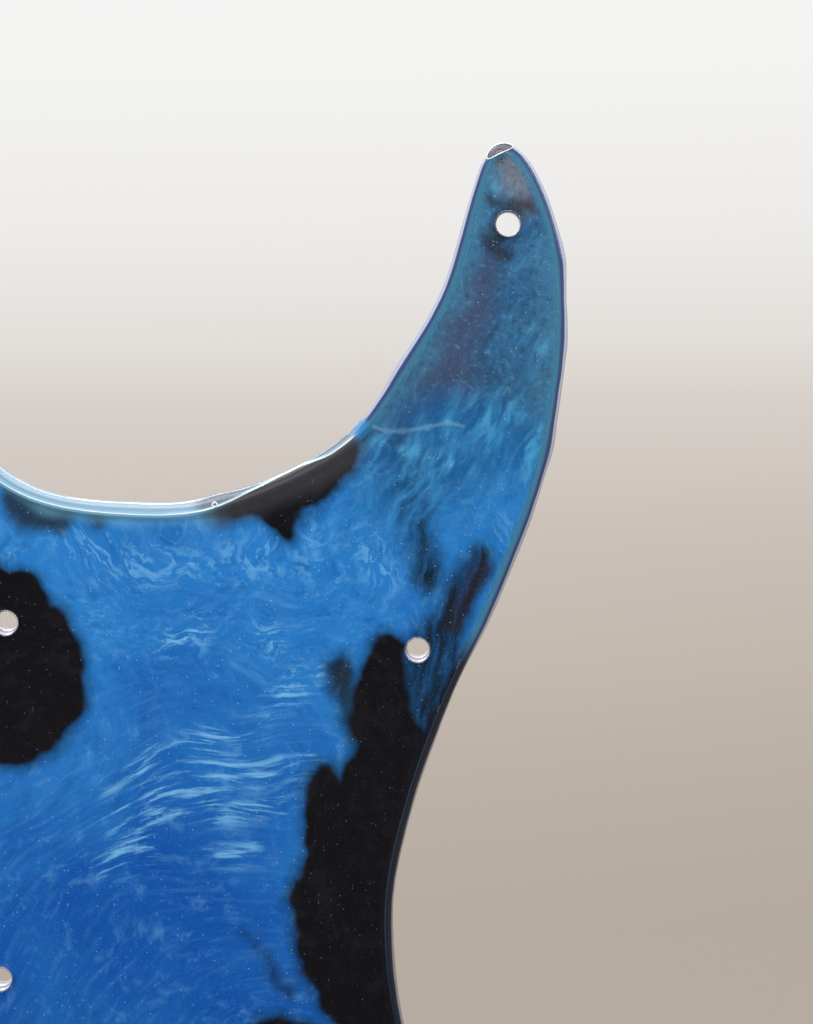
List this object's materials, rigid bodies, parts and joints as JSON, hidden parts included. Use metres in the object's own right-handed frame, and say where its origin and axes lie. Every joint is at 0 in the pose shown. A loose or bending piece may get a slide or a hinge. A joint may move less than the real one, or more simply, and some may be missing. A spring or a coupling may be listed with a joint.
{
  "type": "guitar scratchplate",
  "caption": "Poured-resin scratchplate for a double-cutaway electric guitar: blue pearl with black pools under a clear coat and edge bead, with pickup, control and screw holes.",
  "frame": {"origin": "on the string centreline at the floor of the neck pocket, in the plane of the back face", "axes": "+X across the strings to the treble side, +Y out of the back face into the guitar body, +Z towards the neck; the show face looks towards -Y"},
  "size_m": [0.2203, 0.004, 0.2915],
  "materials": {
    "blue_pearl_resin": "poured epoxy resin with blue pearl powder, cured gloss",
    "smoky_resin": "poured epoxy resin with slate and violet pigment, cured gloss",
    "black_resin": "poured epoxy resin with black pigment and mica, cured gloss",
    "clear_resin": "clear flood-coat epoxy, wet gloss"
  },
  "bodies": {
    "root": {"blue_pearl_pour": "blue_pearl_resin", "smoke_horn_pour": "smoky_resin", "black_pour_cutaway": "black_resin", "black_pours_pocket_side": "black_resin", "black_pour_neck": "black_resin", "black_pour_waist": "black_resin", "black_pour_bass_edge": "black_resin", "black_pour_centre": "black_resin", "black_pour_lobe": "black_resin", "clear_face_coat": "clear_resin", "clear_edge_bead": "clear_resin"}
  },
  "joints": []
}
